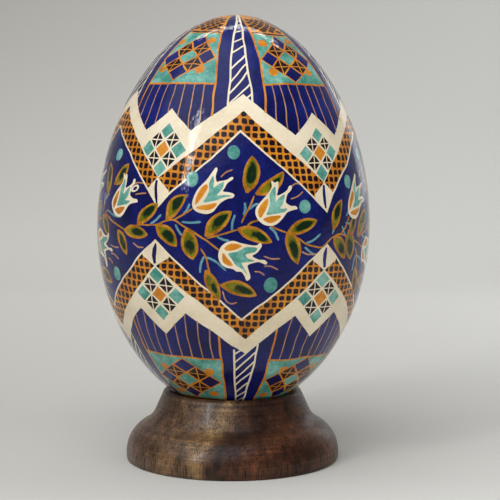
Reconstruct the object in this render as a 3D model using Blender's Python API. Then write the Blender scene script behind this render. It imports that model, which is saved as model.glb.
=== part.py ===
"""A painted goose egg on its small turned wooden stand.

The egg stands on its blunt end in the stand's shallow cup, with the pointed end up. It was
set down by hand, so it leans a little to the right. The stand is one piece of walnut turned
on a lathe: a full round foot, a hollow curve above it, a straight neck and a rounded lip.

Units are metres. +Z is up, -Y is the front, and the origin is the middle of the underside.
"""

import math

import bmesh
import bpy
from mathutils import Matrix, Vector

# Egg: lengths from its widest ring, which lies nearer the blunt end
EGG_WIDTH = 0.0590
EGG_TIP_RISE = 0.0453
EGG_BLUNT_DROP = 0.0402
EGG_WAIST_HEIGHT = 0.0508
# How far each end is slimmer than half an ellipse, as a share of its radius
EGG_TIP_SLIMMING = 0.066
EGG_BLUNT_SLIMMING = 0.025
# The lean turns the egg about the middle of the curve that its seat follows
EGG_LEAN = math.radians(1.0)
EGG_LEAN_PIVOT_HEIGHT = 0.0335
EGG_RINGS = 44

# Foot of the stand: a round bulge over a narrow chamfer
UNDERSIDE_RADIUS = 0.0228
CHAMFER_HEIGHT = 0.0003
BULGE_RADIUS = 0.0074
BULGE_CENTRE = Vector((0.01585, 0.0015))
# Where the bulge turns into the hollow curve, as an angle up from level
HOLLOW_STARTS = math.radians(62.0)
HOLLOW_RADIUS = 0.0055
# The neck leans in by this angle from upright
NECK_SLOPE = math.radians(24.2)

# Lip and cup: the cup is a shallow dish that stays clear of the egg all round
LIP_RADIUS = 0.00095
LIP_TOP = 0.0151
CUP_FLOOR = 0.00995

STAND_ARC_STEPS = 8
CUP_STEPS = 9
LATHE_STEPS = 64

EGG_PAINT = (0.03, 0.035, 0.22)
WALNUT = (0.11, 0.065, 0.042)


def clear_scene():
    """Start from an empty scene."""
    for thing in list(bpy.data.objects):
        bpy.data.objects.remove(thing, do_unlink=True)


def make_material(name, colour, roughness):
    """A plain finish with no metal in it."""
    material = bpy.data.materials.new(name)
    material.use_nodes = True
    shader = material.node_tree.nodes["Principled BSDF"]
    shader.inputs["Base Color"].default_value = (*colour, 1.0)
    shader.inputs["Roughness"].default_value = roughness
    shader.inputs["Metallic"].default_value = 0.0
    return material


def arc(centre, radius, start, end, steps):
    """Points (r, z) on an arc, both ends included. Angles go up from level, outwards."""
    points = []
    for step in range(steps + 1):
        angle = start + (end - start) * step / steps
        points.append(centre + radius * Vector((math.cos(angle), math.sin(angle))))
    return points


def turn(name, profile, material):
    """Spin a profile, which starts and ends on the axis, once round +Z."""
    mesh = bpy.data.meshes.new(name)
    turned = bmesh.new()
    points = [turned.verts.new((r, 0.0, z)) for r, z in profile]
    edges = [turned.edges.new(pair) for pair in zip(points, points[1:])]
    bmesh.ops.spin(
        turned,
        geom=points + edges,
        axis=(0.0, 0.0, 1.0),
        cent=(0.0, 0.0, 0.0),
        angle=2.0 * math.pi,
        steps=LATHE_STEPS,
        use_merge=True,
    )
    bmesh.ops.remove_doubles(turned, verts=turned.verts, dist=1e-6)
    bmesh.ops.recalc_face_normals(turned, faces=turned.faces)
    turned.to_mesh(mesh)
    turned.free()
    mesh.shade_smooth()
    mesh.set_sharp_from_angle(angle=math.radians(30.0))
    mesh.materials.append(material)
    piece = bpy.data.objects.new(name, mesh)
    bpy.context.collection.objects.link(piece)
    return piece


def egg_profile():
    """Two half ellipses that share the widest ring, each a little slimmer towards its end."""
    profile = []
    for ring in range(EGG_RINGS + 1):
        angle = -math.pi / 2.0 + math.pi * ring / EGG_RINGS
        rise = math.sin(angle)
        reach = EGG_TIP_RISE if rise > 0.0 else EGG_BLUNT_DROP
        slimming = EGG_TIP_SLIMMING if rise > 0.0 else EGG_BLUNT_SLIMMING
        radius = EGG_WIDTH / 2.0 * math.cos(angle) * (1.0 - slimming * rise * rise)
        profile.append((max(radius, 0.0), reach * rise))
    return profile


def make_egg(material):
    """The egg, closed at both poles, leaned over about its pivot."""
    egg = turn("egg", egg_profile(), material)
    pivot = Matrix.Translation((0.0, 0.0, EGG_LEAN_PIVOT_HEIGHT))
    lean = Matrix.Rotation(EGG_LEAN, 4, "Y")
    upright = Matrix.Translation((0.0, 0.0, EGG_WAIST_HEIGHT))
    egg.matrix_world = pivot @ lean @ pivot.inverted() @ upright
    return egg


def stand_profile():
    """Underside, foot, hollow curve, neck, lip and cup, from the axis round to the axis."""
    chamfer_angle = math.asin((CHAMFER_HEIGHT - BULGE_CENTRE.y) / BULGE_RADIUS)
    foot = arc(BULGE_CENTRE, BULGE_RADIUS, chamfer_angle, HOLLOW_STARTS, STAND_ARC_STEPS)

    outwards = Vector((math.cos(HOLLOW_STARTS), math.sin(HOLLOW_STARTS)))
    hollow_centre = BULGE_CENTRE + (BULGE_RADIUS + HOLLOW_RADIUS) * outwards
    hollow = arc(
        hollow_centre,
        HOLLOW_RADIUS,
        math.pi + HOLLOW_STARTS,
        math.pi + NECK_SLOPE,
        STAND_ARC_STEPS,
    )

    # The neck runs straight from the hollow curve and meets the lip's arc without a corner
    neck_out = Vector((math.cos(NECK_SLOPE), math.sin(NECK_SLOPE)))
    neck_up = Vector((-math.sin(NECK_SLOPE), math.cos(NECK_SLOPE)))
    lip_height = LIP_TOP - LIP_RADIUS
    run = (lip_height + LIP_RADIUS * neck_out.y - hollow[-1].y) / neck_up.y
    lip_centre = hollow[-1] + run * neck_up - LIP_RADIUS * neck_out

    # The cup's arc has its centre on the axis and touches the lip's arc
    depth = lip_centre.y - CUP_FLOOR
    cup_radius = (lip_centre.x**2 + depth**2 - LIP_RADIUS**2) / (2.0 * (depth + LIP_RADIUS))
    cup_centre = Vector((0.0, CUP_FLOOR + cup_radius))
    to_lip = lip_centre - cup_centre
    touch_angle = math.atan2(to_lip.y, to_lip.x)
    lip = arc(lip_centre, LIP_RADIUS, NECK_SLOPE, math.pi + touch_angle, STAND_ARC_STEPS)
    cup = arc(cup_centre, cup_radius, touch_angle, -math.pi / 2.0, CUP_STEPS)

    underside = [Vector((0.0, 0.0)), Vector((UNDERSIDE_RADIUS, 0.0))]
    profile = underside + foot + hollow[1:] + lip + cup[1:]
    profile[-1].x = 0.0
    return profile


def main():
    clear_scene()
    make_egg(make_material("varnished_dye", EGG_PAINT, 0.2))
    turn("stand", stand_profile(), make_material("walnut", WALNUT, 0.45))


main()
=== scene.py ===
"""A dyed and varnished goose egg standing in its turned walnut stand, in a pale photo studio."""

import math
import random

import bmesh
import bpy
import numpy as np
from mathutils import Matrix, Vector
from mathutils.geometry import delaunay_2d_cdt


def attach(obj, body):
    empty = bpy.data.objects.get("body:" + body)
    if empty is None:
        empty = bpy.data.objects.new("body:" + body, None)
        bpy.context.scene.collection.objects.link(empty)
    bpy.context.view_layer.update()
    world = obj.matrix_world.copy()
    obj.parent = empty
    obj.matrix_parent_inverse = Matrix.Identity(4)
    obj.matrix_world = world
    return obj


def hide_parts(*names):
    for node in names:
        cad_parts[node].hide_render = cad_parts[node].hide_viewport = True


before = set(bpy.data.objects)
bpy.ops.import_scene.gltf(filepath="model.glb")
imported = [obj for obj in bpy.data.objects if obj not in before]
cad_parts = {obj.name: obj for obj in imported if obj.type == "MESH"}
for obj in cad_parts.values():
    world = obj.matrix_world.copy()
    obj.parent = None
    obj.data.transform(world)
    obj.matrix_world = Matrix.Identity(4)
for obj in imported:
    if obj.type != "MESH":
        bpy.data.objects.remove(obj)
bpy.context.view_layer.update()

# The eggshell
# A goose egg, blown out through a small hole and left whole. The ornament is laid on it with
# hot wax and a fine stylus between baths of dye, from the palest to the darkest. It is drawn
# here on the unrolled shell, in mm round the waist and in mm along the shell from the waist,
# cut along every edge of the dye, and then laid back on the egg.

# These are the measures of the CAD egg, in mm
WAIST_RADIUS = 29.5
TIP_RISE = 45.3
BLUNT_DROP = 40.2
TIP_SLIMMING = 0.066
BLUNT_SLIMMING = 0.025
WAIST_HEIGHT = 50.8
LEAN = math.radians(1.0)
LEAN_PIVOT_HEIGHT = 33.5

# The ornament has five repeats, and the middle of the front one is turned a little to the right
REPEATS = 5
REPEAT = 2.0 * math.pi * WAIST_RADIUS / REPEATS
FRONT_TURN = math.radians(3.7)
# The whole ornament sits this much lower on the right side of the egg than in the middle
ORNAMENT_TILT = 0.45
# The ornament's waver dies out over this much shell towards both ends, and its tilt towards
# the top. A fan to the pole closes the last bit.
END_EASE = 6.0
POLE_FAN = 0.35

turn_angle = np.linspace(-math.pi / 2.0, math.pi / 2.0, 4001)
rise = np.sin(turn_angle)
upper = rise > 0.0
shell_radius = WAIST_RADIUS * np.cos(turn_angle)
shell_radius *= 1.0 - np.where(upper, TIP_SLIMMING, BLUNT_SLIMMING) * rise * rise
shell_height = np.where(upper, TIP_RISE, BLUNT_DROP) * rise
shell_run = np.hypot(np.diff(shell_radius), np.diff(shell_height))
shell_run = np.concatenate([[0.0], np.cumsum(shell_run)])
shell_run -= np.interp(0.0, shell_height, shell_run)
LOWEST = shell_run[0] + POLE_FAN
HIGHEST = shell_run[-1] - POLE_FAN


def squeeze(s):
    """How much narrower a mm round the waist is at this run along the shell."""
    return np.maximum(np.interp(s, shell_run, shell_radius) / WAIST_RADIUS, 0.01)


# Every painted shape, in painting order: its repeat, its outline, its dye and its depth of dye
painted = []
DYES = ["cream", "navy", "orange", "turquoise", "black", "leaf", "sky", "tan", "gold"]


def fill(repeat, outline, dye, depth=0.0):
    """A closed shape in one dye. Its outline is turned to run anticlockwise."""
    outline = np.array(outline, float)
    ahead = np.roll(outline, -1, axis=0)
    area = np.sum(outline[:, 0] * ahead[:, 1] - ahead[:, 0] * outline[:, 1])
    if area < 0.0:
        outline = outline[::-1]
    painted.append((repeat, outline, DYES.index(dye), depth))


def curve(points, closed=False, steps=4):
    """A smooth curve through a few key points."""
    points = np.array(points, float)
    if closed:
        points = np.vstack([points[-1], points, points[0], points[1]])
    else:
        points = np.vstack([2 * points[0] - points[1], points, 2 * points[-1] - points[-2]])
    smooth = []
    for a, b, c, d in zip(points, points[1:], points[2:], points[3:]):
        for step in range(steps):
            t = step / steps
            smooth.append(
                0.5
                * (
                    2 * b
                    + (c - a) * t
                    + (2 * a - 5 * b + 4 * c - d) * t**2
                    + (3 * b - a - 3 * c + d) * t**3
                )
            )
    if not closed:
        smooth.append(points[-2])
    return np.array(smooth)


def side_of(points, reach):
    """The points moved sideways by reach, in true mm on the shell, mitred at corners."""
    points = np.array(points, float)
    reach = np.broadcast_to(np.asarray(reach, float), (len(points),))
    scale = np.stack([squeeze(points[:, 1]), np.ones(len(points))], axis=1)
    run = np.diff(points, axis=0) * (scale[1:] + scale[:-1]) / 2.0
    run /= np.maximum(np.linalg.norm(run, axis=1, keepdims=True), 1e-9)
    across = np.stack([-run[:, 1], run[:, 0]], axis=1)
    before = np.vstack([across[:1], across])
    after = np.vstack([across, across[-1:]])
    middle = before + after
    length = np.sum(middle * middle, axis=1, keepdims=True)
    return points + 2.0 * middle / np.maximum(length, 0.7) * reach[:, None] / scale


def line(repeat, points, width, dye):
    """A stroke of the stylus along points, width in mm, one value or one for each point."""
    points = np.array(points, float)
    half = np.asarray(width, float) / 2.0
    fill(repeat, np.vstack([side_of(points, -half), side_of(points, half)[::-1]]), dye)


def stroke(repeat, points, width, dye):
    """A free stroke with rounded ends, as the stylus leaves it."""
    points = curve(points, steps=5)
    place = np.linspace(0.0, 1.0, len(points))
    run = np.linalg.norm(points[-1] - points[0])
    ease = np.clip(np.minimum(place, 1.0 - place) * run / (0.6 * width), 0.0, 1.0)
    widths = width * (0.45 + 0.55 * np.sqrt(ease))
    line(repeat, points, widths, dye)


# Bands and net
# The cream zigzag bands are bare shell, kept under wax from the start. The net beside each is
# drawn in wax over orange dye and then goes into black, so the threads between its little
# dark squares stay orange.

HALF = REPEAT / 2.0
UPPER_BAND = [(-HALF, 26.05), (-12.4, 20.95), (0.0, 29.5), (12.4, 20.95), (HALF, 26.05)]
UPPER_NET = [(-HALF, 11.2), (0.0, 25.75), (HALF, 11.2)]
UPPER_INNER = [(-HALF, 5.4), (-0.65, 21.6), (HALF, 5.4)]
LOWER_BAND = [(-HALF, -21.5), (-12.5, -16.3), (1.4, -25.3), (12.5, -16.3), (HALF, -21.5)]
LOWER_NET = [(-HALF, -6.43), (1.2, -21.5), (HALF, -6.43)]
LOWER_INNER = [(-HALF, -1.45), (0.2, -17.1), (HALF, -1.45)]
# Right of the front repeat and left of it, the arms towards the front swell outwards a little
UPPER_BANDS = [UPPER_BAND] * REPEATS
UPPER_NETS = [UPPER_NET] * REPEATS
UPPER_INNERS = [UPPER_INNER] * REPEATS
UPPER_BANDS[1] = [*UPPER_BAND[:2], (-8.5, 24.3), *UPPER_BAND[2:]]
UPPER_NETS[1] = [UPPER_NET[0], (-15.7, 14.8), (-11.2, 18.8), (-7.5, 21.8), *UPPER_NET[1:]]
UPPER_INNERS[1] = [
    UPPER_INNER[0], (-16.2, 9.2), (-13.5, 12.2), (-9.3, 15.9), (-5.4, 19.2), *UPPER_INNER[1:]
]
UPPER_NETS[4] = [*UPPER_NET[:2], (7.4, 21.1), (11.3, 17.9), (14.8, 14.6), UPPER_NET[2]]
UPPER_INNERS[4] = [
    *UPPER_INNER[:2], (4.9, 18.4), (8.6, 15.7), (12.5, 12.3), (16.2, 8.5), UPPER_INNER[2]
]
FINE_LINE = 0.38
NET_PITCH = 1.47
NET_THREAD = 0.42


def zigzag_height(zigzag, x):
    """How high a zigzag runs at this place round the egg, in any repeat."""
    x = (x + HALF) % REPEAT - HALF
    return np.interp(x, [p[0] for p in zigzag], [p[1] for p in zigzag])


def net_cell(repeat, x, s, wide, tall, hand):
    """One little dark square of the net, its corners rounded and never quite square."""
    outline = []
    for turn in range(8):
        angle = math.pi * (turn + 0.5) / 4.0
        outline.append(
            (
                x + wide * 0.54 * math.copysign(abs(math.cos(angle)) ** 0.55, math.cos(angle)),
                s + tall * 0.54 * math.copysign(abs(math.sin(angle)) ** 0.55, math.sin(angle)),
            )
        )
    outline = [(a + hand.uniform(-0.07, 0.07), b + hand.uniform(-0.07, 0.07)) for a, b in outline]
    fill(repeat, outline, "black")


net_hand = random.Random(4)
for repeat in range(REPEATS):
    for outer, inner in ((UPPER_NETS[repeat], UPPER_INNERS[repeat]), (LOWER_NET, LOWER_INNER)):
        fill(repeat, outer + inner[::-1], "orange")
    for outer, inner in ((UPPER_NETS[repeat], UPPER_INNERS[repeat]), (LOWER_NET, LOWER_INNER)):
        low = min(p[1] for p in outer + inner)
        high = max(p[1] for p in outer + inner)
        rows = round((high - low) / NET_PITCH)
        for row in range(rows):
            s = low + (row + 0.5) * (high - low) / rows
            columns = round(REPEAT * squeeze(s) / NET_PITCH)
            for column in range(columns):
                x = -HALF + (column + 0.5) * REPEAT / columns
                # A wider gap runs down the middle, where the two slopes of the net meet
                x += 0.12 * math.copysign(1.0, x)
                bounds = [zigzag_height(outer, x), zigzag_height(inner, x)]
                if min(bounds) - 0.3 < s < max(bounds) + 0.3:
                    wide = (NET_PITCH - NET_THREAD) / squeeze(s)
                    net_cell(repeat, x, s, wide, NET_PITCH - NET_THREAD, net_hand)

# The navy field between the two nets, and the cream bands outside them
for repeat in range(REPEATS):
    fill(repeat, UPPER_INNERS[repeat] + LOWER_INNER[::-1], "navy")
for repeat in range(REPEATS):
    fill(repeat, UPPER_BANDS[repeat] + UPPER_NETS[repeat][::-1], "cream")
    fill(repeat, LOWER_BAND + LOWER_NET[::-1], "cream")
# Cream tips in the valleys of the net, each with one navy dash
TIP_DASHES = [
    [(18.35, 10.75), (18.18, 9.0), (18.2, 7.3), (18.35, 6.05)],
    [(18.6, -2.1), (18.35, -3.2), (18.3, -4.6), (18.55, -6.1)],
]
for repeat in range(REPEATS):
    upper_left = [(HALF - 2.9, 8.75), (HALF - 2.9, 7.7)]
    upper_right = [(HALF + 2.9, 7.7), (HALF + 2.9, 8.75)]
    if repeat == 4:
        upper_left = [(HALF - 2.6, 9.0), (HALF - 2.5, 8.4)]
    if repeat == 0:
        upper_right = [(HALF + 2.1, 8.5), (HALF + 2.35, 9.25)]
    fill(repeat, [(HALF, 11.3), *upper_left, (HALF, 5.1), *upper_right], "cream")
    lower_left = [(HALF - 3.1, -3.9), (HALF - 3.1, -4.7)]
    lower_right = [(HALF + 3.1, -4.7), (HALF + 3.1, -3.9)]
    fill(repeat, [(HALF, -1.2), *lower_left, (HALF, -6.7), *lower_right], "cream")
for repeat in range(REPEATS):
    # The thin cream line that edges the net towards the field
    for inner in (UPPER_INNERS[repeat], LOWER_INNER):
        line(repeat, inner, FINE_LINE, "cream")
for repeat in range(REPEATS):
    line(repeat, TIP_DASHES[0], [0.55, 0.8, 0.75, 0.4], "navy")
    line(repeat, TIP_DASHES[1], [0.35, 0.95, 0.9, 0.6], "navy")


# Stars
# A chequer of nine squares set on its corner, twice in each repeat of the cream bands. Its
# corner squares are turquoise, its middle is orange, and the four between are black with a
# cross of bare shell.

STARS = [(HALF - 0.05, 17.0, 5.87, 5.9), (HALF + 0.05, -12.6, 6.5, 6.0)]


def chequer(repeat, corners, dyes, thread, hand):
    """Nine squares on a crossed frame. Corners are its top, right, bottom and left."""
    top, right, bottom, left = (np.array(c, float) for c in corners)

    def at(p, q):
        """p runs from the left corner to the top one, q from the left to the bottom one."""
        upper_edge = left + (top - left) * p
        lower_edge = bottom + (right - bottom) * p
        return upper_edge + (lower_edge - upper_edge) * q

    for row in range(3):
        for column in range(3):
            kind = dyes[(row == 1) + (column == 1)]
            middle = at((column + 0.5) / 3.0, (row + 0.5) / 3.0)
            cell = [
                at((column + a) / 3.0, (row + b) / 3.0) for a, b in ((0, 0), (1, 0), (1, 1), (0, 1))
            ]
            scale = np.array([squeeze(middle[1]), 1.0])
            size = np.linalg.norm((cell[1] - cell[0]) * scale)
            shrink = 1.0 - thread / size
            cell = [middle + (c - middle) * shrink for c in cell]
            cell = [c + [hand.uniform(-0.08, 0.08), hand.uniform(-0.08, 0.08)] for c in cell]
            if kind != "black":
                fill(repeat, cell, kind)
                continue
            # The cross leaves four little triangles of black
            for a, b in zip(cell, cell[1:] + cell[:1]):
                inner = middle + ((a + b) / 2.0 - middle) * thread * 0.95 / size
                pull = thread * 0.5 / size
                fill(repeat, [a + (b - a) * pull, b + (a - b) * pull, inner], "black")


star_hand = random.Random(9)
for repeat in range(REPEATS):
    for x, s, wide, tall in STARS:
        corners = [(x, s + tall), (x + wide, s), (x, s - tall), (x - wide, s)]
        if repeat == 0 and s > 0.0:
            # The star right of the front was squeezed in beside the net
            corners[1] = (x + 5.0, s + 0.3)
        chequer(repeat, corners, ["turquoise", "black", "orange"], 0.4, star_hand)


# Panels, combs and ladders
# Beyond the bands, five ladders run to each end of the egg between navy strips. The panels
# between them are turquoise with a chequer in each, and a comb of fine pale orange lines
# fills the navy from the panel back to the cream band.

BORDER_LINE = 0.42
COMB_LINE = 0.25
# The line that closes a panel towards the end of the egg
END_LINE = 0.28
# Left and right edges of the navy strips, from the band to the end of the egg
UPPER_STRIP_LEFT = [
    (-7.3, 20.0), (-7.7, 28.4), (-7.9, 32.0), (-8.3, 35.2), (-8.85, 39.8), (-9.25, 45.1),
    (-9.5, 47.3), (-10.84, 52.0), (-12.0, 54.5), (-12.0, 57.5),
]
UPPER_STRIP_RIGHT = [
    (5.4, 20.0), (5.75, 28.8), (5.8, 31.5), (5.99, 33.5), (6.2, 38.2), (5.85, 42.9),
    (5.1, 46.1), (4.48, 52.06), (4.3, 54.5), (4.3, 57.5),
]
LOWER_STRIP_LEFT = [
    (-5.4, -16.0), (-5.14, -21.75), (-4.75, -25.0), (-4.45, -28.0), (-4.3, -32.7),
    (-4.4, -39.6), (-4.6, -46.0), (-4.6, -53.5),
]
LOWER_STRIP_RIGHT = [
    (9.1, -16.0), (8.86, -20.5), (8.5, -24.0), (8.35, -27.0), (8.6, -31.9), (8.85, -37.7),
    (9.0, -46.0), (9.0, -53.5),
]
UPPER_STRIP_END = 57.5
LOWER_STRIP_END = -53.4
# Each repeat's panel is like one of the two that the front shows
PANEL_KINDS = [0, 1, 0, 1, 1]
PANEL_TOP = 45.9
# The foot of the upper panels at its left and its right, for the two that the front shows
PANEL_FEET = [(31.9, 32.6), (31.2, 31.9)]
DARK_RING = 46.5
LOWER_PANEL_TOP = -27.0
LOWER_PANEL_END = -40.6
LOWER_DARK_RING = -41.2
# The orange at each end stops a little short of the pole
UPPER_ORANGE_END = 57.3
LOWER_ORANGE_END = -52.5


def along(edge, low, high):
    """The part of an edge between two runs along the shell, ends put in by interpolation."""
    edge = sorted(edge, key=lambda p: p[1])
    runs = [p[1] for p in edge]
    places = [p[0] for p in edge]
    inside = [p for p in edge if low < p[1] < high]
    ends = [(float(np.interp(s, runs, places)), s) for s in (low, high)]
    return [ends[0]] + inside + [ends[1]]


def shifted(points, x):
    """The points moved round the egg by x."""
    return [(p[0] + x, p[1]) for p in points]


def level_fill(repeat, left, right, low, high, dye):
    """A shape between a left and a right edge. Its foot may be lower at one side."""
    steps = np.linspace(0.0, 1.0, 9)[1:-1]
    low_left, low_right = low if isinstance(low, tuple) else (low, low)
    left = along(left, low_left, high)
    right = along(right, low_right, high)
    top = [tuple(np.array(left[-1]) + (np.array(right[-1]) - left[-1]) * t) for t in steps]
    foot = [tuple(np.array(right[0]) + (np.array(left[0]) - right[0]) * t) for t in steps]
    fill(repeat, left + top + right[::-1] + foot, dye)


# Each panel lies between a strip's right edge and the next strip's left edge
for repeat in range(REPEATS):
    foot = PANEL_FEET[PANEL_KINDS[repeat]]
    next_left = shifted(UPPER_STRIP_LEFT, REPEAT)
    level_fill(repeat, UPPER_STRIP_RIGHT, next_left, DARK_RING, UPPER_ORANGE_END, "orange")
    level_fill(repeat, UPPER_STRIP_RIGHT, next_left, foot, PANEL_TOP, "turquoise")
    level_fill(repeat, UPPER_STRIP_RIGHT, next_left, PANEL_TOP, DARK_RING, "black")
    next_left = shifted(LOWER_STRIP_LEFT, REPEAT)
    level_fill(repeat, LOWER_STRIP_RIGHT, next_left, LOWER_PANEL_END, LOWER_PANEL_TOP, "turquoise")
    level_fill(repeat, LOWER_STRIP_RIGHT, next_left, LOWER_DARK_RING, LOWER_PANEL_END, "black")
    level_fill(repeat, LOWER_STRIP_RIGHT, next_left, LOWER_ORANGE_END, LOWER_DARK_RING, "orange")

# The slanting net round both ends of the egg: rows of lozenges, each row half a step on
LOZENGE_PITCH = 1.6
LOZENGE_ROW = 0.8
UPPER_LOZENGES = (47.5, 52.3)
LOWER_LOZENGES = (-50.4, -42.2)
end_hand = random.Random(12)
for repeat in range(REPEATS):
    for left, right, (low, high) in (
        (UPPER_STRIP_RIGHT, UPPER_STRIP_LEFT, UPPER_LOZENGES),
        (LOWER_STRIP_RIGHT, LOWER_STRIP_LEFT, LOWER_LOZENGES),
    ):
        rows = round((high - low) / LOZENGE_ROW)
        for row in range(rows + 1):
            s = low + (high - low) * row / rows
            start = along(left, s - 0.01, s + 0.01)[0][0]
            stop = along(right, s - 0.01, s + 0.01)[0][0] + REPEAT
            count = round((stop - start) * squeeze((low + high) / 2.0) / LOZENGE_PITCH)
            pitch = (stop - start) / count
            for column in range(count - row % 2):
                x = start + pitch * (column + 0.5 + 0.5 * (row % 2))
                wide = pitch * 0.41
                tall = LOZENGE_ROW * 0.8
                cell = []
                for turn in range(8):
                    a, b = math.cos(turn * math.pi / 4.0), math.sin(turn * math.pi / 4.0)
                    pull = 0.78 if turn % 2 else 1.0
                    jog = end_hand.uniform(-0.05, 0.05)
                    cell.append((x + wide * a * pull, s + tall * b * pull + jog))
                fill(repeat, cell, "black")

# Chequers of the panels: the two that the front shows, and then the same again
UPPER_CHEQUERS = [
    [(17.3, 45.9), (28.2, 38.5), (16.6, 32.6), (6.5, 38.3)],
    [(18.9, 45.5), (27.8, 38.2), (15.6, 32.2), (5.5, 37.8)],
]
LOWER_CHEQUERS = [
    [(21.6, -27.1), (32.1, -33.9), (19.0, -40.3), (9.1, -32.9)],
    [(21.3, -27.4), (32.0, -33.8), (18.9, -40.5), (8.5, -33.4)],
]
UPPER_BERRIES = [
    [(9.2, 43.1), (24.6, 44.0), (9.8, 35.2), (23.6, 35.5)],
    [(7.8, 42.7), (24.1, 43.3), (8.6, 35.1), (23.3, 35.1)],
]
LOWER_BERRIES = [
    [(14.3, -30.1), (28.7, -29.9), (12.4, -38.6), (28.4, -38.4)],
    [(13.1, -30.3), (28.6, -30.7), (12.5, -38.5), (28.3, -38.3)],
]
panel_hand = random.Random(21)
for repeat in range(REPEATS):
    kind = PANEL_KINDS[repeat]
    for chequers, berries in ((UPPER_CHEQUERS, UPPER_BERRIES), (LOWER_CHEQUERS, LOWER_BERRIES)):
        corners = [np.array(c) for c in chequers[kind]]
        middle = sum(corners) / 4.0
        for x, s in berries[kind]:
            # Orange berries rest on the chequer's sides and stand out into the panel
            ring = []
            for turn in range(12):
                angle = 2.0 * math.pi * turn / 12.0
                reach = 1.02 + panel_hand.uniform(-0.05, 0.05)
                ring.append(
                    (x + reach * math.cos(angle) / squeeze(s), s + reach * math.sin(angle))
                )
            fill(repeat, ring, "orange")
        backing = [middle + (c - middle) * 1.02 for c in corners]
        fill(repeat, backing, "orange")
        chequer(repeat, corners, ["navy", "black", "turquoise"], 0.4, panel_hand)

# Comb lines run from the cream band to the panel, drawn by eye and not evenly. Each starts
# at its place on the panel's foot and keeps its share of the way between the two strips.
COMB_REACH = 14.0
UPPER_TEETH = [
    [8.3, 10.8, 13.6, 16.5, 19.7, 22.3, 25.5],
    [8.4, 11.4, 14.3, 17.4, 20.5, 23.6, 26.4],
]
LOWER_TEETH = [
    [11.4, 14.6, 17.8, 21.2, 23.9, 27.2, 29.8],
    [9.9, 12.7, 15.4, 18.4, 21.6, 24.5, 27.5, 30.3],
]
for repeat in range(REPEATS):
    kind = PANEL_KINDS[repeat]
    for near, far, panel, band, teeth in (
        (UPPER_STRIP_RIGHT, UPPER_STRIP_LEFT, PANEL_FEET[kind], UPPER_BAND, UPPER_TEETH[kind]),
        (
            LOWER_STRIP_RIGHT,
            LOWER_STRIP_LEFT,
            (LOWER_PANEL_TOP, LOWER_PANEL_TOP),
            LOWER_BAND,
            LOWER_TEETH[kind],
        ),
    ):
        toward = 1.0 if panel[0] > 0.0 else -1.0
        for x in teeth:
            start = along(near, panel[0] - 0.01, panel[0] + 0.01)[0][0]
            stop = along(far, panel[0] - 0.01, panel[0] + 0.01)[0][0] + REPEAT
            share = (x - start) / (stop - start)
            tooth = []
            for step in range(9):
                s = panel[0] + (panel[1] - panel[0]) * share - toward * COMB_REACH * step / 8.0
                start = along(near, s - 0.01, s + 0.01)[0][0]
                stop = along(far, s - 0.01, s + 0.01)[0][0] + REPEAT
                x = start + (stop - start) * share
                edge = zigzag_height(band, x)
                if (s - edge) * toward < -0.15:
                    tooth.append((x, edge - 0.15 * toward))
                    break
                tooth.append((x, s))
            line(repeat, tooth, COMB_LINE, "tan")

# Borders of the strips and panels
for repeat in range(REPEATS):
    for edge in (UPPER_STRIP_LEFT, UPPER_STRIP_RIGHT):
        start = zigzag_height(UPPER_BAND, edge[1][0])
        line(repeat, along(edge, start, UPPER_STRIP_END), BORDER_LINE, "orange")
    for edge in (LOWER_STRIP_LEFT, LOWER_STRIP_RIGHT):
        start = zigzag_height(LOWER_BAND, edge[1][0])
        line(repeat, along(edge, LOWER_STRIP_END, start), BORDER_LINE, "orange")
    foot = PANEL_FEET[PANEL_KINDS[repeat]]
    for first, last, left, right, width in (
        (foot[0], foot[1], UPPER_STRIP_RIGHT, UPPER_STRIP_LEFT, BORDER_LINE),
        (LOWER_PANEL_TOP, LOWER_PANEL_TOP, LOWER_STRIP_RIGHT, LOWER_STRIP_LEFT, BORDER_LINE),
        (PANEL_TOP, PANEL_TOP, UPPER_STRIP_RIGHT, UPPER_STRIP_LEFT, END_LINE),
        (LOWER_PANEL_END, LOWER_PANEL_END, LOWER_STRIP_RIGHT, LOWER_STRIP_LEFT, END_LINE),
    ):
        start = along(left, first - 0.01, first + 0.01)[0][0]
        stop = along(right, last - 0.01, last + 0.01)[0][0] + REPEAT
        shares = np.linspace(0.0, 1.0, 13)
        points = [(start + (stop - start) * t, first + (last - first) * t) for t in shares]
        line(repeat, points, width, "orange")

# Ladders: two cream rails that meet near the pole, and slanting cream rungs on navy. A rung is
# given by its run along the shell at the left rail and at the right one.
UPPER_LADDER_LEFT = [
    (-3.95, 26.6), (-3.9, 30.0), (-3.68, 36.3), (-3.5, 41.2), (-3.2, 47.2), (-2.15, 54.65),
]
UPPER_LADDER_RIGHT = [
    (2.45, 27.6), (2.1, 31.0), (1.5, 37.6), (1.1, 42.7), (0.75, 48.2), (0.9, 54.7),
]
LOWER_LADDER_LEFT = [(-1.45, -24.2), (-0.85, -30.4), (0.0, -39.4), (0.6, -46.0), (1.0, -52.0)]
LOWER_LADDER_RIGHT = [
    (4.35, -22.9), (4.26, -27.5), (4.1, -31.5), (3.95, -37.6), (3.7, -46.0), (3.2, -52.0),
]
UPPER_LADDER_TIP = (-0.8, 58.2)
LOWER_LADDER_TIP = (2.2, -54.2)
LADDER_LINE = 0.38
UPPER_RUNGS = [
    (24.2, 29.7), (26.9, 32.1), (29.4, 35.0), (32.2, 37.2), (35.5, 39.4), (39.7, 42.0),
    (42.7, 44.3), (46.2, 47.2), (48.9, 49.6), (51.0, 51.6),
]
LOWER_RUNGS = [
    (-25.5, -21.4), (-27.8, -22.6), (-30.0, -24.7), (-32.8, -27.1), (-34.8, -30.2),
    (-37.2, -33.5), (-39.2, -36.5), (-41.3, -39.3), (-43.3, -41.9), (-45.3, -44.3),
    (-47.2, -46.5), (-49.0, -48.5),
]
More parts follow.
